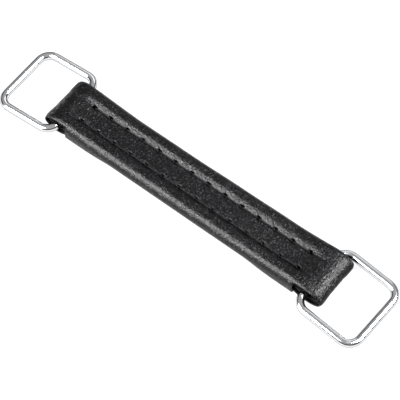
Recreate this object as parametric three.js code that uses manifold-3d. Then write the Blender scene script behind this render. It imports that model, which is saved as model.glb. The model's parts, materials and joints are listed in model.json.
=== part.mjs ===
// A leather carrying handle for an instrument case, with a rectangular wire ring in each end.
//
// Millimetres. +X runs along the grip, +Y across it and +Z up. The origin lies on the resting
// surface, below the middle of the grip. The handle lies flat, and the outer bar of each ring
// rests on the same surface.
//
// From the bottom up the grip holds: the turned-under sides of the cover, the two runs of the
// load strap, the stiffening core with a filler cord beside each edge, and the top of the cover.
// Two rows of lockstitch go through all of it.

import * as THREE from 'three';
import { mergeVertices } from 'three/addons/utils/BufferGeometryUtils.js';
import Module from 'manifold-3d';

const wasm = await Module();
wasm.setup();

// ---- Driving dimensions ----------------------------------------------------------------------

const GAP = 0.3;                    // clearance left between neighbouring pieces

const GRIP_WIDTH = 22.1;            // over the two padded edges
const GRIP_HALF_LENGTH = 53.7;      // where the turned-under sides of the cover end
const PANEL_HEIGHT = 6.85;          // flat panel between the stitch rows
const VALLEY_HEIGHT = 6.4;          // sunk line that the stitches pull down
const RIDGE_HEIGHT = 7.8;           // crest of each padded edge
const RIDGE_OFFSET = 7.5;           // crest line from the middle of the grip
const SIDE_HEIGHT = 4.0;            // where the side of the grip is widest
const BOTTOM_RADIUS = 3.9;          // rounding of the lower edges
const COVER_THICKNESS = 0.8;
const CHANNEL_DEPTH = 0.95;         // groove in the underside that keeps the stitches off the floor
const TAB_WIDTH = 20.6;             // end tab of the cover that turns round the ring
const TAB_HEIGHT = 7.2;             // top of the cover where the tab begins

const STRAP_WIDTH = 18.4;
const STRAP_THICKNESS = 0.95;
const CORE_HALF_LENGTH = 46;
const CORE_WIDTH = 10;

const ROW_OFFSET = 3.87;            // each stitch row from the middle of the grip
const STITCH_PITCH = 7.85;
const STITCH_HOLES = 14;
const THREAD_DIAMETER = 0.6;
const THREAD_MEETING_HEIGHT = 4.2;  // where the upper thread meets the lower one
const START_HOLE = new THREE.Vector3(-56.6, -5.4, 8.5);  // the near row's thread starts here

const WIRE_DIAMETER = 3.2;
const RING_LENGTH = 26.2;           // inner bar to outer bar, on the wire's centre line
const RING_WIDTH = 29.2;            // side bar to side bar, on the wire's centre line
const RING_CORNER_RADIUS = 5;       // on the wire's centre line
const BAR_OFFSET = 58.66;           // inner bar of each ring from the middle of the grip
const BAR_HEIGHT = 4.2;             // inner bar above the resting surface
const LEFT_LAY = { shift: 0.63, yaw: 0.012 };    // each ring is loose in its loop and lies a
const RIGHT_LAY = { shift: -0.56, yaw: -0.036 }; // little to one side and a little turned

// ---- Sizes that follow -----------------------------------------------------------------------

const HALF_WIDTH = GRIP_WIDTH / 2;
const WIRE_RADIUS = WIRE_DIAMETER / 2;
const ROW_HALF_LENGTH = (STITCH_HOLES - 1) * STITCH_PITCH / 2;
const RING_DROOP = Math.asin((BAR_HEIGHT - WIRE_RADIUS) / RING_LENGTH);

// ---- Materials -------------------------------------------------------------------------------

function finish(colour, roughness, metalness = 0) {
  return new THREE.MeshStandardMaterial({ color: colour, roughness, metalness });
}

const coverLeather = finish('#2b2b2d', 0.45);
const strapLeather = finish('#1d1c1c', 0.7);
const coreBoard = finish('#6b5a45', 0.9);
const fillerCotton = finish('#cfc6b4', 0.95);
const blackThread = finish('#121213', 0.6);
const chromedSteel = finish('#dcdee0', 0.12, 1);

// ---- Solids from shapes ----------------------------------------------------------------------

// A closed three.js geometry as a solid that can be joined and cut.
function solidOf(geometry) {
  const bare = geometry.clone();
  bare.deleteAttribute('normal');
  bare.deleteAttribute('uv');
  const merged = mergeVertices(bare, 1e-4);
  return new wasm.Manifold(new wasm.Mesh({
    numProp: 3,
    vertProperties: Float32Array.from(merged.attributes.position.array),
    triVerts: Uint32Array.from(merged.index.array),
  }));
}

function geometryOf(solid) {
  const { vertProperties, triVerts } = solid.getMesh();
  const geometry = new THREE.BufferGeometry();
  geometry.setAttribute('position', new THREE.BufferAttribute(vertProperties, 3));
  geometry.setIndex(new THREE.BufferAttribute(triVerts, 1));
  geometry.computeVertexNormals();
  return geometry;
}

function namedMesh(name, geometry, material) {
  const mesh = new THREE.Mesh(geometry, material);
  mesh.name = name;
  return mesh;
}

// The outline that lies beside a line of points, at a distance to its left.
function beside(line, distance) {
  return line.map((point, i) => {
    const before = line[Math.max(i - 1, 0)];
    const after = line[Math.min(i + 1, line.length - 1)];
    const along = after.clone().sub(before).normalize();
    return new THREE.Vector2(point.x - along.y * distance, point.y + along.x * distance);
  });
}

function bandShape(line, thickness) {
  const left = beside(line, thickness / 2);
  const right = beside(line, -thickness / 2);
  return new THREE.Shape([...left, ...right.reverse()]);
}

// A side-view shape in X and Z, run across the handle in Y.
function acrossHandle(shape, width) {
  const geometry = new THREE.ExtrudeGeometry(shape, { depth: width, bevelEnabled: false });
  geometry.translate(0, 0, -width / 2);
  geometry.rotateX(Math.PI / 2);
  return geometry;
}

// An end-view shape in Y and Z, run along the handle in X.
function alongHandle(shape, length, steps = 1) {
  const geometry = new THREE.ExtrudeGeometry(shape, { depth: length, steps, bevelEnabled: false });
  geometry.translate(0, 0, -length / 2);
  geometry.rotateY(Math.PI / 2);
  geometry.rotateX(Math.PI / 2);
  return geometry;
}

const mirrored = (line) => line.map((point) => new THREE.Vector2(-point.x, point.y)).reverse();
const points = (pairs) => pairs.map(([x, z]) => new THREE.Vector2(x, z));
const smooth = (pairs, count) => new THREE.SplineCurve(points(pairs)).getPoints(count);

// ---- Stitch holes ----------------------------------------------------------------------------

const rowPositions = Array.from(
  { length: STITCH_HOLES },
  (_, i) => -ROW_HALF_LENGTH + i * STITCH_PITCH,
);

// A diamond awl hole, wide enough for the thread and the gap round it.
function awlHole(x, y, low, high) {
  const radius = (THREAD_DIAMETER / 2 + GAP) * Math.SQRT2;
  const geometry = new THREE.CylinderGeometry(radius, radius, high - low, 4);
  geometry.rotateX(Math.PI / 2);
  geometry.translate(x, y, (low + high) / 2);
  return solidOf(geometry);
}

const rowHoles = [-ROW_OFFSET, ROW_OFFSET].flatMap(
  (y) => rowPositions.map((x) => awlHole(x, y, -5, 15)),
);
const startHole = awlHole(START_HOLE.x, START_HOLE.y, 5, 15);
const allHoles = wasm.Manifold.union([...rowHoles, startHole]);

// ---- Cover -----------------------------------------------------------------------------------

// Height of the top of the grip, from the middle outwards: panel, sunk stitch line, ridge.
function topHeight(y) {
  const panelHalf = 2.1;
  if (y < ROW_OFFSET) {
    const t = THREE.MathUtils.clamp((y - panelHalf) / (ROW_OFFSET - panelHalf), 0, 1);
    return VALLEY_HEIGHT + (PANEL_HEIGHT - VALLEY_HEIGHT) * (1 + Math.cos(Math.PI * t)) / 2;
  }
  const t = (y - ROW_OFFSET) / (RIDGE_OFFSET - ROW_OFFSET);
  return VALLEY_HEIGHT + (RIDGE_HEIGHT - VALLEY_HEIGHT) * Math.sin(Math.PI / 2 * t);
}

// Half of the outside of the grip's cross-section, from the middle of the top down round the
// side and back to the slit where the two turned-under edges meet.
function halfSection() {
  const line = [];
  for (const y of [0, 2.1, 2.7, 3.3, ROW_OFFSET, 4.5, 5.2, 6, 6.8]) {
    line.push(new THREE.Vector2(y, topHeight(y)));
  }
  const side = new THREE.Path();
  side.absellipse(RIDGE_OFFSET, SIDE_HEIGHT, HALF_WIDTH - RIDGE_OFFSET,
    RIDGE_HEIGHT - SIDE_HEIGHT, Math.PI / 2, 0, true);
  side.absarc(HALF_WIDTH - BOTTOM_RADIUS, BOTTOM_RADIUS, BOTTOM_RADIUS, 0, -Math.PI / 2, true);
  line.push(...side.getPoints(4));
  const channelHalf = 1.4;
  line.push(new THREE.Vector2(ROW_OFFSET + channelHalf, 0));
  line.push(new THREE.Vector2(ROW_OFFSET + channelHalf / 2, CHANNEL_DEPTH));
  line.push(new THREE.Vector2(ROW_OFFSET - channelHalf / 2, CHANNEL_DEPTH));
  line.push(new THREE.Vector2(ROW_OFFSET - channelHalf, 0));
  line.push(new THREE.Vector2(GAP / 2, 0));
  return line;
}

// Near its ends the top of the cover flattens and climbs to the height of the tab.
function coverTop(x, y) {
  const middle = topHeight(Math.min(Math.abs(y), RIDGE_OFFSET));
  const fade = THREE.MathUtils.smoothstep(Math.abs(x), 44.5, GRIP_HALF_LENGTH);
  return middle + fade * (TAB_HEIGHT - middle);
}

// How far a lower edge stands out at its rounding, as a multiple. The edge is round along the
// grip and gets squarer near the ends, where the flat tab spreads it.
function lowerEdgeSpread(x, y, z) {
  const across = (Math.abs(y) - HALF_WIDTH + BOTTOM_RADIUS) / BOTTOM_RADIUS;
  const down = (BOTTOM_RADIUS - z) / BOTTOM_RADIUS;
  if (across <= 0 || down <= 0) {
    return 1;
  }
  const power = 2 + 2 * THREE.MathUtils.smoothstep(Math.abs(x), 34, 46);
  const round = Math.hypot(across, down);
  return round / (across ** power + down ** power) ** (1 / power);
}

function gripShell() {
  const right = halfSection();
  const outside = [...mirrored(right), ...right.slice(1)];
  const inside = beside(outside, -COVER_THICKNESS);
  inside[0].x = outside[0].x;
  inside[inside.length - 1].x = outside[outside.length - 1].x;
  const shape = new THREE.Shape([...outside, ...inside.reverse()]);
  const stations = [35, 41, 44.5, 48, 51, GRIP_HALF_LENGTH];
  const steps = 2 * stations.length - 1;
  const geometry = alongHandle(shape, steps, steps);
  const place = geometry.attributes.position;
  for (let i = 0; i < place.count; i += 1) {
    const even = place.getX(i);
    const x = Math.sign(even) * stations[Math.round(Math.abs(even) - 0.5)];
    const y = place.getY(i);
    const z = place.getZ(i);
    const share = THREE.MathUtils.smoothstep(z, 3.9, 5.4);
    const spread = lowerEdgeSpread(x, y, z) - 1;
    const edgeCentre = Math.sign(y) * (HALF_WIDTH - BOTTOM_RADIUS);
    place.setX(i, x);
    place.setY(i, y + spread * (y - edgeCentre));
    place.setZ(i, z + spread * (z - BOTTOM_RADIUS) + share * (coverTop(x, y) - coverTop(0, y)));
  }
  return geometry;
}

// The side view of one end tab: out over the ring's bar, round it, and back in above the
// turned-under sides.
function tabLine() {
  return smooth([
    [49.5, 6.35], [52.6, 6.7], [55.8, 7.4], [58.7, 7.75], [61.8, 7.2], [64, 5.7], [64.8, 4.1],
    [64.1, 2.4], [61.8, 1], [58.7, 0.65], [56.4, 1.05], [53.6, 2.25], [51.6, 2.4], [49.6, 2.4],
  ], 36);
}

function cover() {
  const tab = bandShape(tabLine(), COVER_THICKNESS);
  const otherTab = bandShape(mirrored(tabLine()), COVER_THICKNESS);
  const whole = wasm.Manifold.union([
    solidOf(gripShell()),
    solidOf(acrossHandle(tab, TAB_WIDTH)),
    solidOf(acrossHandle(otherTab, TAB_WIDTH)),
  ]);
  return namedMesh('cover', geometryOf(whole.subtract(allHoles)), coverLeather);
}

// ---- Load strap, core and filler cords -------------------------------------------------------

// One strap goes round both bars. Its ends meet in the middle of the lower run.
function loadStrap() {
  const lowerRun = points([[GAP / 2, 2.53], [46, 2.53], [48.6, 3.53], [51.2, 3.53]]);
  const upperRun = points([[51.2, 4.75], [48.6, 4.75], [46, 3.78]]);
  const loop = smooth([
    [53.5, 3.5], [55.1, 2.9], [56.7, 2.2], [58.7, 1.9], [61.3, 2.15], [62.9, 3], [63.4, 4.1],
    [62.8, 5.2], [61.1, 6.05], [58.7, 6.5], [56.8, 6.1], [55.2, 5.4], [53.6, 4.85],
  ], 28);
  const rightHalf = [...lowerRun, ...loop, ...upperRun];
  const line = [...rightHalf, ...mirrored(rightHalf)];
  const band = solidOf(acrossHandle(bandShape(line, STRAP_THICKNESS), STRAP_WIDTH));
  return namedMesh('load_strap', geometryOf(band.subtract(allHoles)), strapLeather);
}

// A board strip, pressed thinner under the two stitch lines.
function core() {
  const bottom = 4.55;
  const pressedTop = 5.25;
  const top = 5.75;
  const edge = CORE_WIDTH / 2;
  const shape = new THREE.Shape(points([
    [-edge, bottom], [edge, bottom], [edge, pressedTop], [2.9, pressedTop], [2, top],
    [-2, top], [-2.9, pressedTop], [-edge, pressedTop],
  ]));
  const board = solidOf(alongHandle(shape, 2 * CORE_HALF_LENGTH));
  return namedMesh('core', geometryOf(board.subtract(allHoles)), coreBoard);
}

// A soft cord, pressed oval, that fills one padded edge.
function fillerCord(name, side) {
  const shape = new THREE.Shape();
  shape.absellipse(side * 7.35, 5.5, 1.85, 0.95, 0, 2 * Math.PI);
  const section = new THREE.Shape(shape.getPoints(7));
  return namedMesh(name, alongHandle(section, 2 * CORE_HALF_LENGTH), fillerCotton);
}

// ---- Threads ---------------------------------------------------------------------------------

function threadPiece(start, end) {
  const radius = THREAD_DIAMETER / 2;
  const geometry = new THREE.CylinderGeometry(radius, radius, start.distanceTo(end), 6);
  const turn = new THREE.Quaternion().setFromUnitVectors(
    new THREE.Vector3(0, 1, 0),
    end.clone().sub(start).normalize(),
  );
  geometry.applyQuaternion(turn);
  const middle = start.clone().add(end).multiplyScalar(0.5);
  geometry.translate(middle.x, middle.y, middle.z);
  return solidOf(geometry);
}

// One thread of a lockstitch row: a run along the surface and a leg into each hole. A bend is
// a place on the surface with the height that its leg reaches.
function thread(name, bends) {
  const pieces = [];
  bends.forEach(({ place, legEnd }, i) => {
    pieces.push(threadPiece(new THREE.Vector3(place.x, place.y, legEnd), place));
    if (i > 0) {
      pieces.push(threadPiece(bends[i - 1].place, place));
    }
  });
  return namedMesh(name, geometryOf(wasm.Manifold.union(pieces)), blackThread);
}

function needleBends(y) {
  const legEnd = THREAD_MEETING_HEIGHT + GAP / 2;
  return rowPositions.map((x) => {
    const height = coverTop(x, y) + GAP + THREAD_DIAMETER / 2;
    return { place: new THREE.Vector3(x, y, height), legEnd };
  });
}

function bobbinBends(y) {
  const legEnd = THREAD_MEETING_HEIGHT - GAP / 2;
  const height = THREAD_DIAMETER / 2 + 0.02;
  return rowPositions.map((x) => ({ place: new THREE.Vector3(x, y, height), legEnd }));
}

function threads() {
  const start = { place: START_HOLE, legEnd: 5.55 };
  return [
    thread('needle_thread_near', [start, ...needleBends(-ROW_OFFSET)]),
    thread('needle_thread_far', needleBends(ROW_OFFSET)),
    thread('bobbin_thread_near', bobbinBends(-ROW_OFFSET)),
    thread('bobbin_thread_far', bobbinBends(ROW_OFFSET)),
  ];
}

// ---- Rings -----------------------------------------------------------------------------------

// The wire's centre line, from the inner bar (at x = 0) out to the outer bar. Each station
// holds a place and the direction that points away from the middle of the ring.
function ringStations() {
  const stepsPerCorner = 6;
  const r = RING_CORNER_RADIUS;
  const low = r;
  const high = RING_LENGTH - r;
  const half = RING_WIDTH / 2 - r;
  const corners = [[high, half], [low, half], [low, -half], [high, -half]];
  return corners.flatMap(([x, y], corner) => (
    Array.from({ length: stepsPerCorner + 1 }, (_, i) => {
      const angle = Math.PI / 2 * (corner + i / stepsPerCorner);
      const out = new THREE.Vector2(Math.cos(angle), Math.sin(angle));
      return { place: new THREE.Vector2(x + r * out.x, y + r * out.y), out };
    })
  ));
}

// Round wire swept along the closed centre line. Its flats face straight in, out, up and down.
function ringGeometry() {
  const sides = 12;
  const stations = ringStations();
  const positions = [];
  const index = [];
  stations.forEach(({ place, out }, s) => {
    const next = (s + 1) % stations.length;
    for (let k = 0; k < sides; k += 1) {
      const angle = 2 * Math.PI * (k + 0.5) / sides;
      const reach = WIRE_RADIUS * Math.cos(angle);
      positions.push(place.x + out.x * reach, place.y + out.y * reach,
        WIRE_RADIUS * Math.sin(angle));
      const k2 = (k + 1) % sides;
      const a = s * sides + k;
      const b = next * sides + k;
      const c = next * sides + k2;
      const d = s * sides + k2;
      index.push(a, b, c, a, c, d);
    }
  });
  const geometry = new THREE.BufferGeometry();
  geometry.setAttribute('position', new THREE.Float32BufferAttribute(positions, 3));
  geometry.setIndex(index);
  geometry.computeVertexNormals();
  return geometry;
}

// A ring in a group whose origin is on the inner bar and whose +X points away from the grip.
function ring(name, side, lay) {
  const mesh = namedMesh(name, ringGeometry(), chromedSteel);
  mesh.rotation.y = RING_DROOP;
  const holder = new THREE.Group();
  holder.position.set(side * BAR_OFFSET, lay.shift, BAR_HEIGHT);
  holder.rotation.z = lay.yaw + (side > 0 ? 0 : Math.PI);
  holder.add(mesh);
  return holder;
}

// ---- Assembly --------------------------------------------------------------------------------

const handle = new THREE.Group();
handle.add(
  cover(),
  loadStrap(),
  core(),
  fillerCord('filler_cord_near', -1),
  fillerCord('filler_cord_far', 1),
  ...threads(),
  ring('ring_left', -1, LEFT_LAY),
  ring('ring_right', 1, RIGHT_LAY),
);

export default handle;
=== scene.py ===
"""The looks of a leather instrument-case handle with a chromed wire ring in each end.

The handle lies flat on a pale floor. Lengths in this script are millimetres, and each finished
mesh is scaled to metres as it is made. +X runs along the grip, +Y across it and +Z up.
"""

import json
import math

import bpy
import numpy as np
from mathutils import Matrix, Vector, noise


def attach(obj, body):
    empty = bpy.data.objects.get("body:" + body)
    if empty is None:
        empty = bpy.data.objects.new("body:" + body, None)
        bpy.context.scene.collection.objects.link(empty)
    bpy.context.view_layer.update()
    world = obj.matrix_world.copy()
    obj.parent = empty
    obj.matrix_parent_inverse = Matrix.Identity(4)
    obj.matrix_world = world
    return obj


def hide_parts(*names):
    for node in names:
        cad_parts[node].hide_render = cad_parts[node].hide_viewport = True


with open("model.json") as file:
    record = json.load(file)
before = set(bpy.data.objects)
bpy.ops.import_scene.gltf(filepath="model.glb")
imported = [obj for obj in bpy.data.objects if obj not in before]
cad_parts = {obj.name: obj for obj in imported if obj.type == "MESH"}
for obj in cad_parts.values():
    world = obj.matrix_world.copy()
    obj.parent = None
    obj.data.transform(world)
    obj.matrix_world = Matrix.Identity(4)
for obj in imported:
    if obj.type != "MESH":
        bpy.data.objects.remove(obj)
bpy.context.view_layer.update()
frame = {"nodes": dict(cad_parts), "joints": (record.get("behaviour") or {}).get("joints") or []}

MM = 0.001

# ---- Sizes -----------------------------------------------------------------------------------

GRIP_HALF_LENGTH = 53.7        # where the turned-under sides of the cover end
GRIP_HALF_WIDTH = 11.05
PANEL_HALF_WIDTH = 3.0
PANEL_HEIGHT = 6.85            # flat panel between the stitch rows
FAR_VALLEY_HEIGHT = 6.6        # line that the far row of stitches pulls down
NEAR_VALLEY_HEIGHT = 6.78      # and the near row, which is not as tight
RIDGE_HEIGHT = 7.8
RIDGE_OFFSET = 8.0
SIDE_HEIGHT = 4.0              # where the sides stand upright
BOTTOM_RADIUS = 3.8
SEAM_HALF_GAP = 0.12           # the turned-under edges nearly meet on the middle line
RISE_START = 40.0              # where the top starts to rise towards the ring's bar
CHANNEL_DEPTH = 0.95           # the groove that each row's lower thread lies in
CHANNEL_HALF_WIDTH = 1.4
TAB_HALF_WIDTH = 10.3
COVER_THICKNESS = 0.85

# Distances from the middle between which a shape changes smoothly.
FLATTENING = (51, 61.5)        # the panel and ridges are pressed flat
SQUARING = (31, 46)            # the lower edges turn from round to squarer
TAB_SHIFTING = (57, 63)        # the tabs are pulled to the right
FAR_SPREADING = (4.5, 9.5)     # the far side takes its own outline, measured along Y

# How much further out the far side lies along the grip, as (x, distance).
FAR_SIDE_SPREAD = [(-54, 0.2), (-44, 0.1), (-34, -0.18), (0, -0.12), (20, 0.12), (40, 0.4),
                   (54, 0.6)]
RIGHT_TAB_SHIFT = 1.0          # both tabs lie a little to the right, which makes the right one
LEFT_TAB_SHIFT = 0.6           # longer and the left one shorter

ROW_OFFSET = 3.87
STITCH_PITCH = 7.85
STITCH_HOLES = 14
HOLE_RADIUS = 0.8
START_HOLE = (-56.6, -5.4)     # the near row's thread starts here, on the left tab
THREAD_RADIUS = 0.22
LEG_DEPTH = 1.9                # how far each end of a stitch goes down into its hole
LEG_INSET = 0.26
TWISTS_PER_STITCH = 7.0
UPPER_THREAD_LIFT = 0.06       # from the cover's top to the line of a stitch
START_THREAD_LIFT = 0.1
LOWER_THREAD_HEIGHT = CHANNEL_DEPTH - 0.3

STRAP_HALF_WIDTH = 9.2
STRAP_THICKNESS = 1.0
STRAP_LOWER_HEIGHT = 2.53
STRAP_UPPER_HEIGHT = 3.78
STRAP_END_HALF_GAP = 0.15      # the strap's two ends nearly meet in the lower run

WIRE_RADIUS = 1.6
RING_LENGTH = 26.2
RING_WIDTH = 29.2
RING_CORNER_RADIUS = 5.0

FLOOR_HALF_SIZE = 12000        # wide enough to reach past every low view
FLOOR_DROP = 0.02              # keeps the floor from touching the leather
SOFTBOX_DISTANCE = 1.3         # in metres, as the lights' own sizes are

ROW_HALF_LENGTH = (STITCH_HOLES - 1) * STITCH_PITCH / 2
HOLE_POSITIONS = [-ROW_HALF_LENGTH + i * STITCH_PITCH for i in range(STITCH_HOLES)]
HOLE_STEPS = np.arange(-3, 4) * 0.2       # mesh lines across a hole, from its middle

# The side view of an end of the cover: from the grip over the ring's bar, round it and back.
TAB_LINE = [
    (RISE_START, 6.85), (44, 6.93), (48, 7.15), (52, 7.5), (55.5, 7.85), (58.7, 8.12),
    (61.9, 7.62), (64.3, 6.0), (65.2, 4.1),
    (64.45, 2.2), (61.9, 0.66), (58.7, 0.25), (56.2, 0.66), (53.6, 1.8), (51.6, 2.0), (49.6, 2.0),
]
# The side view of the load strap: out along the lower run, round the bar and back on top.
STRAP_LINE = [
    (46, STRAP_LOWER_HEIGHT), (48.6, 3.53), (51.2, 3.53), (53.5, 3.4), (55.1, 2.8), (56.7, 2.15),
    (58.7, 1.85), (61.3, 2.15), (62.9, 3), (63.4, 4.1), (62.8, 5.3), (61.1, 6.2),
    (58.7, 6.65), (56.8, 6.35), (55.2, 5.7), (53.6, 5.05), (51.2, 4.8), (48.6, 4.75),
    (46, STRAP_UPPER_HEIGHT),
]


def smoothstep(value, low, high):
    """A smooth rise from 0 at low to 1 at high."""
    t = np.clip((np.asarray(value, float) - low) / (high - low), 0, 1)
    return t * t * (3 - 2 * t)


def bell(distance, width):
    """A smooth bump that is 1 in its middle and has died away two widths from it."""
    return math.exp(-(distance / width) ** 2)


def spline(points, spacing):
    """Points along a smooth curve through the given ones, an even distance apart."""
    p = np.array(points, float)
    p = np.vstack([2 * p[0] - p[1], p, 2 * p[-1] - p[-2]])
    steps_per_span = 40
    fine = []
    for a, b, c, d in zip(p, p[1:], p[2:], p[3:]):
        for t in np.linspace(0, 1, steps_per_span, endpoint=False):
            fine.append(0.5 * ((2 * b) + (c - a) * t + (2 * a - 5 * b + 4 * c - d) * t**2
                               + (3 * b - a - 3 * c + d) * t**3))
    fine = np.array(fine + [p[-2]])
    length = np.concatenate([[0], np.cumsum(np.linalg.norm(np.diff(fine, axis=0), axis=1))])
    count = max(2, round(length[-1] / spacing))
    at = np.linspace(0, length[-1], count + 1)
    return np.stack([np.interp(at, length, fine[:, k]) for k in range(fine.shape[1])], axis=1)


# ---- Materials -------------------------------------------------------------------------------

def linear(hex_colour):
    """An sRGB hex colour as linear RGBA."""
    channels = [int(hex_colour[i:i + 2], 16) / 255 for i in (1, 3, 5)]
    return tuple(c / 12.92 if c <= 0.04045 else ((c + 0.055) / 1.055) ** 2.4
                 for c in channels) + (1.0,)


def add(tree, kind, inputs=None, **settings):
    """Adds one node. inputs gives each socket a value, or an output socket to link from."""
    node = tree.nodes.new(kind)
    for name, value in settings.items():
        setattr(node, name, value)
    for key, value in (inputs or {}).items():
        if isinstance(value, bpy.types.NodeSocket):
            tree.links.new(value, node.inputs[key])
        else:
            node.inputs[key].default_value = value
    return node


def new_material(name):
    """A material with only a Principled shader, its tree and the shader."""
    material = bpy.data.materials.new(name)
    material.use_nodes = True
    tree = material.node_tree
    tree.nodes.clear()
    shader = add(tree, "ShaderNodeBsdfPrincipled")
    add(tree, "ShaderNodeOutputMaterial", {"Surface": shader.outputs[0]})
    return material, tree, shader


def per_metre(size_mm):
    """A texture's Scale for features of a real size."""
    return 1 / (size_mm * MM)


def speckle(tree, shader, size_mm, detail, noise_roughness, dark, pale, strength, depth_mm):
    """Specks of a real size, paler where they stand out. They give a surface its colour and
    its bump."""
    place = add(tree, "ShaderNodeTexCoord").outputs["Object"]
    specks = add(tree, "ShaderNodeTexNoise", {"Vector": place, "Scale": per_metre(size_mm),
                                              "Detail": detail, "Roughness": noise_roughness})
    colour = add(tree, "ShaderNodeMix", {"Factor": specks.outputs["Fac"], "A": linear(dark),
                                         "B": linear(pale)}, data_type="RGBA")
    bump = add(tree, "ShaderNodeBump", {"Height": specks.outputs["Fac"], "Strength": strength,
                                        "Distance": depth_mm * MM})
    tree.links.new(colour.outputs["Result"], shader.inputs["Base Color"])
    tree.links.new(bump.outputs[0], shader.inputs["Normal"])


def pressed_cowhide():
    """Chrome-tanned cowhide, dyed black, with a pebbled grain pressed in by a hot plate. It gives
    the eye a soft sheen broken into pebbles a little over a millimetre wide, with duller creases
    and slightly paler patches where the dye took less. The creases are also darkened with painted
    shade, and the pebble tops painted paler. The pebbles are drawn coarser than real ones, and
    the finest creases are left out, as they'd be too thin to see."""
    material, tree, shader = new_material("black_pressed_cowhide")
    place = add(tree, "ShaderNodeTexCoord").outputs["Object"]
    warp = add(tree, "ShaderNodeTexNoise",
               {"Vector": place, "Scale": per_metre(2.2), "Detail": 2.0})
    bent = add(tree, "ShaderNodeVectorMath", {0: warp.outputs["Color"], "Scale": 1.1 * MM},
               operation="SCALE")
    moved = add(tree, "ShaderNodeVectorMath", {0: place, 1: bent.outputs[0]}, operation="ADD")
    pebbles = add(tree, "ShaderNodeTexVoronoi",
                  {"Vector": moved.outputs[0], "Scale": per_metre(1.35), "Randomness": 1.0},
                  feature="DISTANCE_TO_EDGE")
    rounded = add(tree, "ShaderNodeMapRange", {"Value": pebbles.outputs["Distance"],
                                               "From Min": 0.0, "From Max": 0.4},
                  interpolation_type="SMOOTHSTEP")
    wrinkles = add(tree, "ShaderNodeTexVoronoi",
                   {"Vector": moved.outputs[0], "Scale": per_metre(0.5), "Randomness": 1.0},
                   feature="DISTANCE_TO_EDGE")
    parted = add(tree, "ShaderNodeMapRange", {"Value": wrinkles.outputs["Distance"],
                                              "From Min": 0.0, "From Max": 0.25, "To Max": 0.3},
                 interpolation_type="SMOOTHSTEP")
    pores = add(tree, "ShaderNodeTexNoise",
                {"Vector": place, "Scale": per_metre(0.3), "Detail": 2.0, "Roughness": 0.5})
    folds = add(tree, "ShaderNodeTexNoise",
                {"Vector": place, "Scale": per_metre(5.0), "Detail": 3.0, "Roughness": 0.55})
    grain = add(tree, "ShaderNodeMath", {0: rounded.outputs[0], 1: parted.outputs[0]},
                operation="ADD")
    height = add(tree, "ShaderNodeMath", {0: pores.outputs["Fac"], 1: 0.2, 2: grain.outputs[0]},
                 operation="MULTIPLY_ADD")
    fine = add(tree, "ShaderNodeBump", {"Height": height.outputs[0], "Strength": 1.0,
                                        "Distance": 0.08 * MM})
    coarse = add(tree, "ShaderNodeBump", {"Height": folds.outputs["Fac"], "Strength": 0.5,
                                          "Distance": 0.05 * MM, "Normal": fine.outputs[0]})
    # Painted shade: the grain's low creases are drawn darker and its pebble tops paler, as light
    # would shade them.
    shade = add(tree, "ShaderNodeMapRange", {"Value": height.outputs[0], "From Min": 0.5,
                                             "From Max": 1.2, "To Min": 0.0, "To Max": 1.0})
    patches = add(tree, "ShaderNodeTexNoise",
                  {"Vector": place, "Scale": per_metre(1.7), "Detail": 2.0, "Roughness": 0.6})
    taken = add(tree, "ShaderNodeMapRange", {"Value": patches.outputs["Fac"], "From Min": 0.4,
                                             "From Max": 0.6, "To Min": 0.0, "To Max": 1.0})
    # The painted crease shade times the random patches where the dye took less.
    crease_shade_and_dye_patches = add(tree, "ShaderNodeMath", {0: shade.outputs[0], 1: taken.outputs[0]},
               operation="MULTIPLY")
    colour = add(tree, "ShaderNodeMix", {"Factor": crease_shade_and_dye_patches.outputs[0], "A": linear("#000000"),
                                         "B": linear("#17171b")}, data_type="RGBA")
    rough = add(tree, "ShaderNodeMapRange", {"Value": height.outputs[0], "From Min": 0.3,
                                             "From Max": 1.2, "To Min": 0.35, "To Max": 0.205})
    tree.links.new(colour.outputs["Result"], shader.inputs["Base Color"])
    tree.links.new(rough.outputs[0], shader.inputs["Roughness"])
    tree.links.new(coarse.outputs[0], shader.inputs["Normal"])
    shader.inputs["IOR"].default_value = 1.5
    shader.inputs["Specular IOR Level"].default_value = 0.17
    return material


def flesh_side():
    """The uncoated back of the hide, dyed through. Its loose fibres scatter the light, so it
    shows no sheen. The fibres are drawn about three times as coarse as real ones."""
    material, tree, shader = new_material("black_dyed_flesh_side")
    speckle(tree, shader, 0.3, 4.0, 0.7, "#060606", "#0f0e0e", 0.8, 0.12)
    shader.inputs["Roughness"].default_value = 0.9
    shader.inputs["Specular IOR Level"].default_value = 0.15
    return material


def painted_edge():
    """The cut edge of the hide, burnished and painted black. It catches a thin, smooth glint
    over the faint layers of the hide."""
    material, tree, shader = new_material("black_painted_edge")
    speckle(tree, shader, 0.6, 3.0, 0.6, "#060606", "#101010", 0.5, 0.08)
    shader.inputs["Roughness"].default_value = 0.45
    shader.inputs["Specular IOR Level"].default_value = 0.2
    return material


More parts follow.
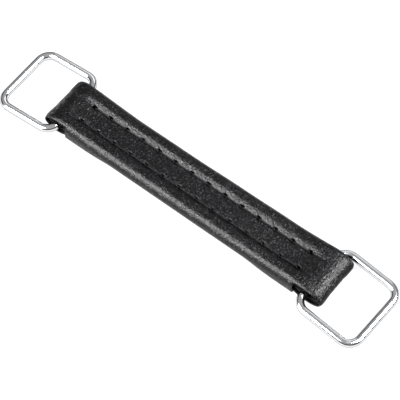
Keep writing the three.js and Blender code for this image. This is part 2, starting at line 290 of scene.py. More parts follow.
def chrome_plate():
    """Bright chrome plate over polished steel wire. It mirrors the room sharply, with a faint
    haze where the wire was drawn through its die. Its dark specular tint is a painted dark
    reflection: it darkens the wire at grazing angles and gives it a thin dark outline on the white
    floor."""
    material, tree, shader = new_material("bright_chrome_plate")
    place = add(tree, "ShaderNodeTexCoord").outputs["Object"]
    haze = add(tree, "ShaderNodeTexNoise",
               {"Vector": place, "Scale": per_metre(1.5), "Detail": 4.0, "Roughness": 0.6})
    rough = add(tree, "ShaderNodeMapRange", {"Value": haze.outputs["Fac"], "From Min": 0.35,
                                             "From Max": 0.65, "To Min": 0.08, "To Max": 0.16})
    waves = add(tree, "ShaderNodeTexNoise",
                {"Vector": place, "Scale": per_metre(6.0), "Detail": 1.0})
    bump = add(tree, "ShaderNodeBump", {"Height": waves.outputs["Fac"], "Strength": 0.15,
                                        "Distance": 0.1 * MM})
    tree.links.new(rough.outputs[0], shader.inputs["Roughness"])
    tree.links.new(bump.outputs[0], shader.inputs["Normal"])
    shader.inputs["Base Color"].default_value = linear("#cbccce")
    # Painted dark reflection at grazing angles, which outlines the wire.
    shader.inputs["Specular Tint"].default_value = (0.3, 0.3, 0.3, 1.0)
    shader.inputs["Metallic"].default_value = 1.0
    return material


def waxed_thread():
    """Three-ply polyester thread, dyed black and waxed. The plies give a dull rope-like line
    with small soft glints. Its fibres are drawn as bundles, as one fibre is too thin to see."""
    material, tree, shader = new_material("black_waxed_thread")
    speckle(tree, shader, 0.12, 2.0, 0.5, "#030303", "#0c0c0d", 0.6, 0.04)
    shader.inputs["Roughness"].default_value = 0.6
    shader.inputs["Specular IOR Level"].default_value = 0.15
    return material


def leatherboard():
    """Bonded leatherboard: shredded hide pressed with glue, dyed dark. Dull and speckled."""
    material, tree, shader = new_material("bonded_leatherboard")
    speckle(tree, shader, 0.7, 5.0, 0.7, "#080706", "#14110f", 0.5, 0.1)
    shader.inputs["Roughness"].default_value = 0.85
    return material


def raw_cotton():
    """Soft unbleached cotton cord, pressed flat. Matt, with a fuzz of short fibres."""
    material, tree, shader = new_material("raw_cotton_cord")
    speckle(tree, shader, 0.4, 4.0, 0.7, "#b8ac93", "#ddd3bf", 0.7, 0.15)
    shader.inputs["Roughness"].default_value = 0.95
    return material


# ---- Mesh helpers ----------------------------------------------------------------------------

def mesh_object(name, vertices, faces, materials, smooth=True):
    """A new object from millimetre vertices, at the origin."""
    mesh = bpy.data.meshes.new(name)
    mesh.from_pydata((np.asarray(vertices, float) * MM).tolist(), [], faces)
    mesh.validate()
    for material in materials:
        mesh.materials.append(material)
    if smooth:
        mesh.shade_smooth()
    else:
        mesh.shade_flat()
    piece = bpy.data.objects.new(name, mesh)
    bpy.context.scene.collection.objects.link(piece)
    return piece


def applied(piece):
    """Turns the evaluated object into its plain mesh and drops its modifiers."""
    graph = bpy.context.evaluated_depsgraph_get()
    mesh = bpy.data.meshes.new_from_object(piece.evaluated_get(graph))
    piece.modifiers.clear()
    piece.data = mesh
    return piece


def finish_piece(piece, body, slot, *nodes):
    """Says which body a piece rides on and hides the CAD nodes it stands for. The slot argument is
    not used.
    """
    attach(piece, body)
    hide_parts(*nodes)


# ---- Cover -----------------------------------------------------------------------------------

def top_height(y):
    """Height of the grip's top from the middle outwards: panel, stitch valley, ridge."""
    valley = np.where(np.asarray(y) > 0, FAR_VALLEY_HEIGHT, NEAR_VALLEY_HEIGHT)
    y = np.abs(y)
    down = np.clip((y - PANEL_HALF_WIDTH) / (ROW_OFFSET - PANEL_HALF_WIDTH), 0, 1)
    panel = valley + (PANEL_HEIGHT - valley) * (1 + np.cos(np.pi * down)) / 2
    climb = np.interp(y - ROW_OFFSET, [0, 0.44, 1.1, 1.8, 2.3, 2.8, 3.4],
                      [0, 0.15, 0.43, 0.73, 0.91, 0.98, 1.0])
    ridge = valley + (RIDGE_HEIGHT - valley) * climb
    beyond = np.clip((y - RIDGE_OFFSET) / (GRIP_HALF_WIDTH - RIDGE_OFFSET), 0, 1)
    shoulder = SIDE_HEIGHT + (RIDGE_HEIGHT - SIDE_HEIGHT) * np.sqrt(1 - beyond**2)
    return np.where(y < ROW_OFFSET, panel, np.where(y < RIDGE_OFFSET, ridge, shoulder))


def top_columns():
    """Places across the top, close together where a needle hole is cut."""
    open_parts = [0, 0.75, 1.5, 2.1, 2.6, 3.0, 6.4, 6.9, 7.4, 7.9, 8.4, 8.9, 9.4, 9.85,
                  TAB_HALF_WIDTH]
    holes = [*(ROW_OFFSET + HOLE_STEPS), *(-START_HOLE[1] + HOLE_STEPS)]
    return np.array(sorted(open_parts + holes))


def side_columns(x):
    """The grip's outline in Y and Z from the edge of the tab down the side and under. The lower
    edge is round along the grip and squarer near the ends, where the flat tab spreads it."""
    shoulder_width = GRIP_HALF_WIDTH - RIDGE_OFFSET
    first = math.acos((TAB_HALF_WIDTH - RIDGE_OFFSET) / shoulder_width)
    outline = []
    for angle in np.linspace(first, 0, 7)[1:]:
        outline.append((RIDGE_OFFSET + shoulder_width * math.cos(angle),
                        SIDE_HEIGHT + (RIDGE_HEIGHT - SIDE_HEIGHT) * math.sin(angle)))
    centre = GRIP_HALF_WIDTH - BOTTOM_RADIUS
    roundness = 2 + 2.4 * float(smoothstep(abs(x), *SQUARING))  # 2 is a circle, more is squarer
    for angle in np.linspace(0, np.pi / 2, 12):
        across, down = math.cos(angle), math.sin(angle)
        reach = BOTTOM_RADIUS / (across**roundness + down**roundness) ** (1 / roundness)
        outline.append((centre + reach * across, BOTTOM_RADIUS - reach * down))
    for y in np.linspace(centre, ROW_OFFSET + CHANNEL_HALF_WIDTH, 4)[1:]:
        outline.append((y, 0.0))
    steepness = 1.25
    for step in (1.1, 0.85, *HOLE_STEPS[::-1], -0.85, -1.1):
        rise = math.cos(math.pi / 2 * step / CHANNEL_HALF_WIDTH)
        outline.append((ROW_OFFSET + step, CHANNEL_DEPTH * min(1.0, steepness * rise)))
    for y in [ROW_OFFSET - CHANNEL_HALF_WIDTH, 1.9, 1.3, 0.7, SEAM_HALF_GAP]:
        outline.append((y, 0.0))
    return np.array(outline)


def half_rows(start_hole_x=None):
    """The rows of one half, as x, z, the outward direction's x and z, and the distance along.
    They run out along the grip, round the bar and back under, closer together at a hole."""
    line = spline(TAB_LINE, 0.05)
    line = np.vstack([[(0.0, PANEL_HEIGHT)], line])
    along = np.concatenate([[0], np.cumsum(np.linalg.norm(np.diff(line, axis=0), axis=1))])
    nose = int(np.argmax(line[:, 0]))

    def distance_to(x):
        """The distance along the line to a place on its way out."""
        return float(np.interp(x, line[:nose, 0], along[:nose]))

    grip = set()
    for a, b in zip(HOLE_POSITIONS, HOLE_POSITIONS[1:]):
        gap = np.linspace(a + HOLE_STEPS[-1], b + HOLE_STEPS[0], 12)[1:-1]
        grip |= {round(float(x), 4) for x in [*(a + HOLE_STEPS), *(b + HOLE_STEPS), *gap]}
    at = [distance_to(x) for x in sorted(grip) if x > 1e-3]
    end_of_grip = distance_to(GRIP_HALF_LENGTH)
    at += list(np.linspace(at[-1], end_of_grip, 5)[1:])
    if start_hole_x is not None:
        hole = distance_to(abs(start_hole_x)) + HOLE_STEPS
        at += list(np.linspace(end_of_grip, hole[0], 6)[1:-1]) + list(hole)
    tab_spacing = 0.45
    count = round((along[-1] - at[-1]) / tab_spacing)
    at = np.array(at + list(np.linspace(at[-1], along[-1], count + 1)[1:]))

    def place(distance):
        """The x and z of places along the line."""
        return np.stack([np.interp(distance, along, line[:, k]) for k in range(2)], axis=1)

    step = 0.15
    forward = place(at + step) - place(at - step)
    forward /= np.linalg.norm(forward, axis=1)[:, None]
    outward = np.stack([-forward[:, 1], forward[:, 0]], axis=1)
    return np.column_stack([place(at), outward, at]), end_of_grip


def flattened(at):
    """How much of the panel and ridges is pressed flat, by the distance from the middle."""
    return 0.8 * float(smoothstep(abs(at), *FLATTENING))


def stretched(x, y):
    """The hide isn't quite even: its far side widens to the right, and both tabs are pulled a
    little to the right."""
    far = float(np.interp(x, *zip(*FAR_SIDE_SPREAD)))
    shift = RIGHT_TAB_SHIFT if x > 0 else LEFT_TAB_SHIFT
    return (x + shift * float(smoothstep(abs(x), *TAB_SHIFTING)),
            y + far * float(smoothstep(y, *FAR_SPREADING)))


def leather_unevenness(x, y, z, on_tab):
    """How far the hide stands out from its drawn surface, in millimetres: slow waves, small
    dents, and creases across the tabs. A factor is one over a wave's length in that direction,
    and the number added to z only makes the three patterns differ."""
    waves = noise.noise(Vector((x * 0.07, y * 0.11, z * 0.1 + 3.0)))
    dents = noise.noise(Vector((x * 0.3, y * 0.35, z * 0.3 + 9.0)))
    creases = noise.noise(Vector((x * 1.1, y * 0.28, z * 1.1 + 17.0)))
    return waves * 0.14 + dents * 0.012 - on_tab * 0.18 * max(0.0, creases) ** 1.5


def top_relief(x, y, z, fade, pull, in_row):
    """How far the top of the cover stands out from the line along its middle. fade is how flat
    it is pressed, pull how near a needle hole is, and in_row whether a stitch row passes."""
    from_row = abs(y) - ROW_OFFSET
    relief = (float(top_height(y)) - PANEL_HEIGHT) * (1 - fade)
    if in_row:
        relief -= 0.1 * bell(from_row, 0.42)                    # the thread's own groove
    relief -= 0.22 * pull * bell(from_row, 1.0)                 # the dimple at a hole
    relief += 0.1 * (0.5 - pull) * (1 - fade) * bell(abs(y) - 5.6, 1.4)    # swells between holes
    relief -= 0.3 * fade * float(smoothstep(abs(y), 9.2, TAB_HALF_WIDTH))  # worn tab edges
    from_pucker = math.hypot(x - START_HOLE[0] + 0.3, y - START_HOLE[1] - 1.1)
    relief += 0.28 * bell(from_pucker, 0.55)
    return relief + leather_unevenness(x, y, z, fade)


def quads(index):
    """The faces of a grid of vertex numbers, in which -1 marks an empty place."""
    faces = []
    for row, following in zip(index, index[1:]):
        for c in range(len(row) - 1):
            corners = (row[c], following[c], following[c + 1], row[c + 1])
            if min(corners) >= 0:
                faces.append(tuple(int(v) for v in corners))
    return faces


def cover_grid():
    """Vertices and faces of the outside of the cover, before it is given its thickness."""
    left, left_end = half_rows(START_HOLE[0])
    right, right_end = half_rows()
    left = left[::-1] * np.array([-1, 1, -1, 1, -1])
    middle = np.array([[0.0, PANEL_HEIGHT, 0.0, 1.0, 0.0]])
    rows = np.vstack([left, middle, right])

    half_top = top_columns()
    top_y = np.concatenate([-half_top[::-1], half_top[1:]])
    side = len(side_columns(0.0))
    columns = side + len(top_y) + side
    shoulder = float(top_height(TAB_HALF_WIDTH))
    fixed_height = 1.0             # the sides below this follow none of the top's unevenness

    vertices = []
    index = np.full((len(rows), columns), -1)
    for r, (x, z, nx, nz, at) in enumerate(rows):
        fade = flattened(at)
        pull = sum(bell(at - hole, 1.3) for hole in HOLE_POSITIONS)
        in_row = abs(at) < ROW_HALF_LENGTH + 0.5
        for c, y in enumerate(top_y):
            relief = top_relief(x, y, z, fade, pull, in_row)
            index[r, side + c] = len(vertices)
            vertices.append((x + nx * relief, y, z + nz * relief))
        if not -left_end - 1e-6 <= at <= right_end + 1e-6:
            continue
        near_rim = vertices[index[r, side]][2]
        far_rim = vertices[index[r, side + len(top_y) - 1]][2]
        for sign, rim_z in ((-1, near_rim), (1, far_rim)):
            for k, (y, z0) in enumerate(side_columns(x)):
                share = min(1.0, max(0.0, (z0 - fixed_height) / (shoulder - fixed_height)))
                grow = leather_unevenness(x, sign * y, z0, 0.0) * share
                c = side - 1 - k if sign < 0 else side + len(top_y) + k
                index[r, c] = len(vertices)
                vertices.append((x, sign * (y + 0.6 * grow), z0 + (rim_z - shoulder) * share))

    return np.array([(*stretched(x, y), z) for x, y, z in vertices]), quads(index)


def cut_holes(vertices, faces, centres):
    """Takes out the faces inside each needle hole and rounds the hole's border."""
    inside = HOLE_RADIUS * 0.92    # a face goes if its middle is nearer than this
    search = 2.0                   # the border's other faces are nearer than this
    top_dent = 0.12                # how far the needle pulled the border in, above and below
    under_dent = 0.06
    vertices = vertices.copy()
    middle = np.array([vertices[list(face)].mean(axis=0) for face in faces])
    gone = np.zeros(len(faces), bool)
    for x, y in centres:
        distance = np.hypot(middle[:, 0] - x, middle[:, 1] - y)
        near = distance < inside
        inner = {v for i in np.flatnonzero(near) for v in faces[i]}
        outer = np.flatnonzero(~near & (distance < search))
        border = inner & {v for i in outer for v in faces[i]}
        for v in border:
            dx, dy = vertices[v, 0] - x, vertices[v, 1] - y
            reach = math.hypot(dx, dy)
            vertices[v, 0] = x + dx * HOLE_RADIUS / reach
            vertices[v, 1] = y + dy * HOLE_RADIUS / reach
            vertices[v, 2] -= top_dent if vertices[v, 2] > SIDE_HEIGHT else -under_dent
        gone |= near
    return vertices, [face for face, out in zip(faces, gone) if not out]


def make_cover(hide, flesh, edge):
    """The whole cover: grain outside, flesh inside, and a painted rim."""
    vertices, faces = cover_grid()
    centres = [(x, s * ROW_OFFSET) for x in HOLE_POSITIONS for s in (-1, 1)] + [START_HOLE]
    vertices, faces = cut_holes(vertices, faces, centres)
    cover = mesh_object("cover_leather", vertices, faces, [hide, flesh, edge])
    thick = cover.modifiers.new("thickness", "SOLIDIFY")
    thick.thickness = COVER_THICKNESS * MM
    thick.offset = -1
    thick.use_even_offset = True
    thick.thickness_clamp = 1.0
    thick.material_offset = 1
    thick.material_offset_rim = 2
    return applied(cover)


# ---- Load strap ------------------------------------------------------------------------------

def band(line, half_width, thickness, columns):
    """Vertices and quads of a closed strip of even thickness along a side-view line."""
    line = np.array(line, float)
    along = np.gradient(line, axis=0)
    along /= np.linalg.norm(along, axis=1)[:, None]
    out = np.stack([along[:, 1], -along[:, 0]], axis=1)
    across = np.linspace(-half_width, half_width, columns)
    ring = [(y, 1) for y in across] + [(y, -1) for y in across[::-1]]
    vertices = []
    for (x, z), (nx, nz) in zip(line, out):
        for y, side in ring:
            lift = side * thickness / 2
            vertices.append((x + nx * lift, y, z + nz * lift))
    n = len(ring)
    faces = []
    for r in range(len(line) - 1):
        for k in range(n):
            a, b = r * n + k, r * n + (k + 1) % n
            faces.append((a, a + n, b + n, b))
    faces.append(tuple(range(n)))
    faces.append(tuple(range(len(vertices) - 1, len(vertices) - 1 - n, -1)))
    return vertices, faces


def make_load_strap(flesh):
    """One strap that runs from loop to loop, with its two ends nearly meeting in the lower run."""
    loop = spline(STRAP_LINE, 0.5)
    loop_start = STRAP_LINE[0][0] - 0.5
    start = [(x, STRAP_LOWER_HEIGHT) for x in np.linspace(STRAP_END_HALF_GAP, loop_start, 24)]
    end = [(x, STRAP_UPPER_HEIGHT) for x in np.linspace(loop_start, 0.0, 24)]
    right = np.vstack([start, loop, end])
    left = right[::-1][1:] * np.array([-1, 1])
    vertices, faces = band(np.vstack([right, left]), STRAP_HALF_WIDTH, STRAP_THICKNESS, 13)
    vertices = [(*stretched(x, y), z) for x, y, z in vertices]
    strap = mesh_object("load_strap_leather", vertices, faces, [flesh])
    bevel = strap.modifiers.new("worn_edges", "BEVEL")
    bevel.width = 0.2 * MM
    bevel.segments = 2
    bevel.limit_method = "ANGLE"
    bevel.angle_limit = math.radians(50)
    return applied(strap)


# ---- Rings -----------------------------------------------------------------------------------

def ring_tree():
    """Round wire bent to a rectangle with round corners. The inner bar lies on the Y axis."""
    tree = bpy.data.node_groups.new("bent_wire_ring", "GeometryNodeTree")
    interface = tree.interface
    for name in ("Length", "Width", "Corner Radius", "Wire Radius"):
        interface.new_socket(name, in_out="INPUT", socket_type="NodeSocketFloat")
    interface.new_socket("Material", in_out="INPUT", socket_type="NodeSocketMaterial")
    interface.new_socket("Geometry", in_out="OUTPUT", socket_type="NodeSocketGeometry")
    given = add(tree, "NodeGroupInput").outputs
    outline = add(tree, "GeometryNodeCurvePrimitiveQuadrilateral",
                  {"Width": given["Length"], "Height": given["Width"]}, mode="RECTANGLE")
    corners = add(tree, "GeometryNodeFilletCurve",
                  {"Curve": outline.outputs[0], "Count": 18, "Radius": given["Corner Radius"]},
                  mode="POLY")
    section = add(tree, "GeometryNodeCurvePrimitiveCircle",
                  {"Resolution": 40, "Radius": given["Wire Radius"]}, mode="RADIUS")
    wire = add(tree, "GeometryNodeCurveToMesh",
               {"Curve": corners.outputs[0], "Profile Curve": section.outputs[0]})
    half = add(tree, "ShaderNodeMath", {0: given["Length"], 1: 0.5}, operation="MULTIPLY")
    shift = add(tree, "ShaderNodeCombineXYZ", {"X": half.outputs[0]})
    placed = add(tree, "GeometryNodeTransform",
                 {"Geometry": wire.outputs[0], "Translation": shift.outputs[0]})
    smooth = add(tree, "GeometryNodeSetShadeSmooth", {"Geometry": placed.outputs[0]})
    real = add(tree, "GeometryNodeRealizeInstances", {"Geometry": smooth.outputs[0]})
    covered = add(tree, "GeometryNodeSetMaterial",
                  {"Geometry": real.outputs[0], "Material": given["Material"]})
    add(tree, "NodeGroupOutput", {"Geometry": covered.outputs[0]})
    return tree


def with_tree(name, tree, base_mesh, values):
    """An object whose mesh comes from a node tree, as a plain mesh."""
    piece = bpy.data.objects.new(name, base_mesh)
    bpy.context.scene.collection.objects.link(piece)
    modifier = piece.modifiers.new(tree.name, "NODES")
    modifier.node_group = tree
    for item in tree.interface.items_tree:
        if item.in_out == "INPUT" and item.name in values:
            modifier[item.identifier] = values[item.name]
    return applied(piece)


def make_ring(name, joint, chrome, tree):
    """A ring on its hinge line. It leans down until its outer bar rests on the floor."""
    ring = with_tree(name, tree, bpy.data.meshes.new(name), {
        "Length": RING_LENGTH * MM, "Width": RING_WIDTH * MM,
        "Corner Radius": RING_CORNER_RADIUS * MM, "Wire Radius": WIRE_RADIUS * MM,
        "Material": chrome,
    })
    bar = Vector(joint["pos_m"])
    hinge = Vector(joint["axis"]).normalized()
    vertical = Vector((0, 0, 1))
    outwards = vertical.cross(hinge)
    droop = math.asin((bar.z - WIRE_RADIUS * MM) / (RING_LENGTH * MM))
    along = outwards * math.cos(droop) - vertical * math.sin(droop)
    up = along.cross(hinge)
    turn = Matrix((along, hinge, up)).transposed().to_4x4()
    ring.data.transform(Matrix.Translation(bar) @ turn)
    return ring


# ---- Threads ---------------------------------------------------------------------------------

def stitch_arch(tree, given):
    """The line of one stitch along X, from -0.5 to 0.5 before its edge scales it: a leg down
    into each hole and a flat arch between them."""
    points = 31
    squared_off = 0.3              # 1 gives a plain sine arch, and less a squarer one
    line = add(tree, "GeometryNodeMeshLine", {"Count": points}, mode="OFFSET")
    number = add(tree, "GeometryNodeInputIndex")
    share = add(tree, "ShaderNodeMath", {0: number.outputs[0], 1: points - 1.0},
                operation="DIVIDE")
    angle = add(tree, "ShaderNodeMath", {0: share.outputs[0], 1: math.pi}, operation="MULTIPLY")
    cosine = add(tree, "ShaderNodeMath", {0: angle.outputs[0]}, operation="COSINE")
    sine = add(tree, "ShaderNodeMath", {0: angle.outputs[0]}, operation="SINE")
    half = add(tree, "ShaderNodeMath", {0: cosine.outputs[0]}, operation="SIGN")
    reach = add(tree, "ShaderNodeMath", {0: cosine.outputs[0]}, operation="ABSOLUTE")
    width = add(tree, "ShaderNodeMath", {0: reach.outputs[0], 1: squared_off}, operation="POWER")
    across = add(tree, "ShaderNodeMath", {0: half.outputs[0], 1: width.outputs[0]},
                 operation="MULTIPLY")
    x = add(tree, "ShaderNodeMath", {0: across.outputs[0], 1: -0.5}, operation="MULTIPLY")
    rise = add(tree, "ShaderNodeMath", {0: sine.outputs[0], 1: squared_off}, operation="POWER")
    risen = add(tree, "ShaderNodeMath", {0: rise.outputs[0], 1: given["Leg Depth"]},
                operation="MULTIPLY")
    low = add(tree, "ShaderNodeMath", {0: given["Leg Depth"], 1: -1.0}, operation="MULTIPLY")
    z = add(tree, "ShaderNodeMath", {0: low.outputs[0], 1: risen.outputs[0]}, operation="ADD")
    centre = add(tree, "ShaderNodeCombineXYZ", {"X": x.outputs[0], "Z": z.outputs[0]})
    arch = add(tree, "GeometryNodeSetPosition",
               {"Geometry": line.outputs[0], "Position": centre.outputs[0]})
    return add(tree, "GeometryNodeMeshToCurve", {"Mesh": arch.outputs[0]})


def laid_on_edges(tree, given, stitch):
    """One stitch on each edge of the base mesh, turned and stretched to reach its two ends."""
    ends = add(tree, "GeometryNodeInputMeshEdgeVertices").outputs
    reach = add(tree, "ShaderNodeVectorMath", {0: ends["Position 2"], 1: ends["Position 1"]},
                operation="SUBTRACT")
    length = add(tree, "ShaderNodeVectorMath", {0: reach.outputs[0]}, operation="LENGTH")
    keep_reach = add(tree, "GeometryNodeStoreNamedAttribute",
                     {"Geometry": given["Geometry"], "Name": "reach", "Value": reach.outputs[0]},
                     data_type="FLOAT_VECTOR", domain="EDGE")
    keep_length = add(tree, "GeometryNodeStoreNamedAttribute",
                      {"Geometry": keep_reach.outputs[0], "Name": "size",
                       "Value": length.outputs["Value"]}, data_type="FLOAT", domain="EDGE")
    spots = add(tree, "GeometryNodeMeshToPoints", {"Mesh": keep_length.outputs[0]}, mode="EDGES")
    heading = add(tree, "GeometryNodeInputNamedAttribute", {"Name": "reach"},
                  data_type="FLOAT_VECTOR")
    size = add(tree, "GeometryNodeInputNamedAttribute", {"Name": "size"}, data_type="FLOAT")
    turn = add(tree, "FunctionNodeAlignRotationToVector", {"Vector": heading.outputs[0]},
               axis="X", pivot_axis="AUTO")
    insets = add(tree, "ShaderNodeMath", {0: given["Leg Inset"], 1: 2.0}, operation="MULTIPLY")
    span = add(tree, "ShaderNodeMath", {0: size.outputs[0], 1: insets.outputs[0]},
               operation="SUBTRACT")
    stretch = add(tree, "ShaderNodeCombineXYZ", {"X": span.outputs[0], "Y": 1.0,
                                                 "Z": given["Side"]})
    laid = add(tree, "GeometryNodeInstanceOnPoints",
               {"Points": spots.outputs[0], "Instance": stitch.outputs[0],
                "Rotation": turn.outputs[0], "Scale": stretch.outputs[0]})
    return add(tree, "GeometryNodeRealizeInstances", {"Geometry": laid.outputs[0]})


def wound_plies(tree, given, curves):
    """The thread's three plies, wound round each stitch's line."""
    plies = 3
    ply_radius = add(tree, "ShaderNodeMath", {0: given["Thread Radius"], 1: 0.52},
                     operation="MULTIPLY")
    ply_offset = add(tree, "ShaderNodeMath", {0: given["Thread Radius"], 1: 0.5},
                     operation="MULTIPLY")
    section = add(tree, "GeometryNodeCurvePrimitiveCircle",
                  {"Resolution": 7, "Radius": ply_radius.outputs[0]}, mode="RADIUS")
    normal = add(tree, "GeometryNodeInputNormal")
    tangent = add(tree, "GeometryNodeInputTangent")
    second = add(tree, "ShaderNodeVectorMath", {0: tangent.outputs[0], 1: normal.outputs[0]},
                 operation="CROSS_PRODUCT")
    factor = add(tree, "GeometryNodeSplineParameter").outputs["Factor"]
    turns = add(tree, "ShaderNodeMath", {0: factor, 1: given["Twists"]}, operation="MULTIPLY")
    twist = add(tree, "ShaderNodeMath", {0: turns.outputs[0], 1: math.tau}, operation="MULTIPLY")
    parts = add(tree, "GeometryNodeJoinGeometry")
    for ply in range(plies):
        angle = add(tree, "ShaderNodeMath", {0: twist.outputs[0], 1: ply * math.tau / plies},
                    operation="ADD")
        shifts = []
        for operation, axis in (("COSINE", normal), ("SINE", second)):
            wave = add(tree, "ShaderNodeMath", {0: angle.outputs[0]}, operation=operation)
            size = add(tree, "ShaderNodeMath", {0: wave.outputs[0], 1: ply_offset.outputs[0]},
                       operation="MULTIPLY")
            shifts.append(add(tree, "ShaderNodeVectorMath",
                              {0: axis.outputs[0], "Scale": size.outputs[0]}, operation="SCALE"))
        shift = add(tree, "ShaderNodeVectorMath",
                    {0: shifts[0].outputs[0], 1: shifts[1].outputs[0]}, operation="ADD")
        wound = add(tree, "GeometryNodeSetPosition",
                    {"Geometry": curves.outputs[0], "Offset": shift.outputs[0]})
        strand = add(tree, "GeometryNodeCurveToMesh",
                     {"Curve": wound.outputs[0], "Profile Curve": section.outputs[0],
                      "Fill Caps": True})
        tree.links.new(strand.outputs[0], parts.inputs[0])
    return parts


def stitch_tree():
    """A row of lockstitches, one on each edge of the base mesh. Side is 1 where the stitches
    stand out upwards and -1 where they stand out downwards."""
    tree = bpy.data.node_groups.new("lockstitch_row", "GeometryNodeTree")
    interface = tree.interface
    interface.new_socket("Geometry", in_out="INPUT", socket_type="NodeSocketGeometry")
    for name in ("Thread Radius", "Leg Depth", "Leg Inset", "Twists", "Side"):
        interface.new_socket(name, in_out="INPUT", socket_type="NodeSocketFloat")
    interface.new_socket("Material", in_out="INPUT", socket_type="NodeSocketMaterial")
    interface.new_socket("Geometry", in_out="OUTPUT", socket_type="NodeSocketGeometry")
    given = add(tree, "NodeGroupInput").outputs
    row = laid_on_edges(tree, given, stitch_arch(tree, given))
    plies = wound_plies(tree, given, row)
    smooth = add(tree, "GeometryNodeSetShadeSmooth", {"Geometry": plies.outputs[0]})
    solid = add(tree, "GeometryNodeRealizeInstances", {"Geometry": smooth.outputs[0]})
    covered = add(tree, "GeometryNodeSetMaterial",
                  {"Geometry": solid.outputs[0], "Material": given["Material"]})
    add(tree, "NodeGroupOutput", {"Geometry": covered.outputs[0]})
    return tree


def surface_height(x, y):
    """Height of the cover's top at a needle hole."""
    line = spline(TAB_LINE, 0.2)
    out = line[:int(np.argmax(line[:, 0]))]
    spine = PANEL_HEIGHT
    if abs(x) >= RISE_START:
        spine = float(np.interp(abs(x), out[:, 0], out[:, 1]))
    return spine + (float(top_height(y)) - PANEL_HEIGHT) * (1 - flattened(x))


def make_thread(name, places, side, thread, tree):
    """A row of stitches between neighbouring places, on the top (side 1) or underside (-1)."""
    mesh = bpy.data.meshes.new(name)
    edges = [(i, i + 1) for i in range(len(places) - 1)]
    mesh.from_pydata([tuple(v * MM for v in place) for place in places], edges, [])
    return with_tree(name, tree, mesh, {
        "Thread Radius": THREAD_RADIUS * MM, "Leg Depth": LEG_DEPTH * MM,
        "Leg Inset": LEG_INSET * MM, "Twists": TWISTS_PER_STITCH, "Side": float(side),
        "Material": thread,
    })


# ---- Stage -----------------------------------------------------------------------------------

def make_floor():
    """A large sheet of white acrylic lit from below, which leaves hardly any shadow."""
    half = FLOOR_HALF_SIZE
    corners = [(-half, -half, 0), (half, -half, 0), (half, half, 0), (-half, half, 0)]
    floor = mesh_object("floor", corners, [(0, 1, 2, 3)], [], smooth=False)
    floor.location.z = -FLOOR_DROP * MM
    material, _, shader = new_material("lit_white_acrylic")
    shader.inputs["Base Color"].default_value = linear("#505050")
    shader.inputs["Roughness"].default_value = 0.9
    shader.inputs["Specular IOR Level"].default_value = 0.2
    shader.inputs["Emission Color"].default_value = (1, 1, 1, 1)
    shader.inputs["Emission Strength"].default_value = 0.9
    floor.data.materials.append(material)


def towards(azimuth, elevation):
    """Unit vector from the object. Azimuth 0 is the -Y side, and 90 is the +X side."""
    a, e = math.radians(azimuth), math.radians(elevation)
    return Vector((math.sin(a) * math.cos(e), -math.cos(a) * math.cos(e), math.sin(e)))


def make_softbox(name, azimuth, elevation, width, height, power):
    """A rectangular light that faces the object. Its sizes are metres and its power watts."""
    light = bpy.data.lights.new(name, "AREA")
    light.shape = "RECTANGLE"
    light.size = width
    light.size_y = height
    light.energy = power
    lamp = bpy.data.objects.new(name, light)
    bpy.context.scene.collection.objects.link(lamp)
    away = towards(azimuth, elevation)
    lamp.location = away * SOFTBOX_DISTANCE
    lamp.rotation_euler = away.to_track_quat("Z", "Y").to_euler()


def make_world(horizon, ceiling):
    """A studio room: a pale ceiling over walls as dark as the horizon. The two blend between
    17 and 44 degrees up."""
    world = bpy.data.worlds.new("studio")
    world.use_nodes = True
    tree = world.node_tree
    background = tree.nodes["Background"]
    place = add(tree, "ShaderNodeTexCoord").outputs["Generated"]
    parts = add(tree, "ShaderNodeSeparateXYZ", {"Vector": place})
    glow = add(tree, "ShaderNodeMapRange",
               {"Value": parts.outputs["Z"], "From Min": 0.3, "From Max": 0.7,
                "To Min": horizon, "To Max": ceiling}, interpolation_type="SMOOTHSTEP")
    tree.links.new(glow.outputs[0], background.inputs["Strength"])
    background.inputs["Color"].default_value = (1, 1, 1, 1)
    bpy.context.scene.world = world
    bpy.context.scene.view_settings.view_transform = "Standard"


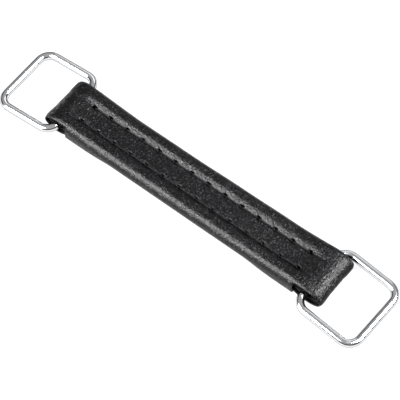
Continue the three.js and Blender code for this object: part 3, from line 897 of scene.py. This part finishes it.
def make_camera():
    """A long lens, looking down on the handle from its near right side."""
    aim = Vector((4.75, -2.15, 4.0)) * MM
    distance = 661.3
    away = towards(azimuth=38.04, elevation=59.95)
    data = bpy.data.cameras.new("camera")
    data.sensor_width = 36
    data.lens = 159.75
    data.clip_end = 20
    camera = bpy.data.objects.new("camera", data)
    bpy.context.scene.collection.objects.link(camera)
    camera.location = aim + away * distance * MM
    camera.rotation_euler = away.to_track_quat("Z", "Y").to_euler()
    bpy.context.scene.camera = camera


# ---- Assembly --------------------------------------------------------------------------------

make_camera()
make_floor()
make_world(horizon=0.02, ceiling=0.54)
make_softbox("front_softbox", azimuth=-28, elevation=34, width=0.85, height=1.1, power=104)
make_softbox("back_softbox", azimuth=122, elevation=50, width=0.65, height=0.8, power=72)
make_softbox("rear_softbox", azimuth=200, elevation=32, width=1.0, height=0.5, power=2.4)

hide = pressed_cowhide()
flesh = flesh_side()
edge = painted_edge()
chrome = chrome_plate()
thread = waxed_thread()
board = leatherboard()
cotton = raw_cotton()
joints = {joint["name"]: joint for joint in frame["joints"]}

cover = make_cover(hide, flesh, edge)
finish_piece(cover, "grip", "cover_leather", "cover")

strap = make_load_strap(flesh)
finish_piece(strap, "grip", "strap_leather", "load_strap")

wire_ring = ring_tree()
for name in ("left", "right"):
    ring = make_ring(f"{name}_wire_ring", joints[f"ring_{name}_swing"], chrome, wire_ring)
    finish_piece(ring, f"{name}_ring", "chromed_wire", f"ring_{name}")

lockstitch = stitch_tree()
for name, side in (("near", -1), ("far", 1)):
    y = side * ROW_OFFSET
    above = [(x, y, surface_height(x, y) + UPPER_THREAD_LIFT) for x in HOLE_POSITIONS]
    if side < 0:
        above.insert(0, (*START_HOLE, surface_height(*START_HOLE) + START_THREAD_LIFT))
    row = make_thread(f"upper_thread_{name}", above, 1, thread, lockstitch)
    finish_piece(row, "grip", "black_thread", f"needle_thread_{name}")
    below = [(x, y, LOWER_THREAD_HEIGHT) for x in HOLE_POSITIONS]
    row = make_thread(f"lower_thread_{name}", below, -1, thread, lockstitch)
    finish_piece(row, "grip", "black_thread", f"bobbin_thread_{name}")

# The board and the cords are hidden inside, so the CAD's own shapes serve.
for node, material in (("core", board), ("filler_cord_near", cotton), ("filler_cord_far", cotton)):
    slots = frame["nodes"][node].data.materials
    slots.clear()
    slots.append(material)
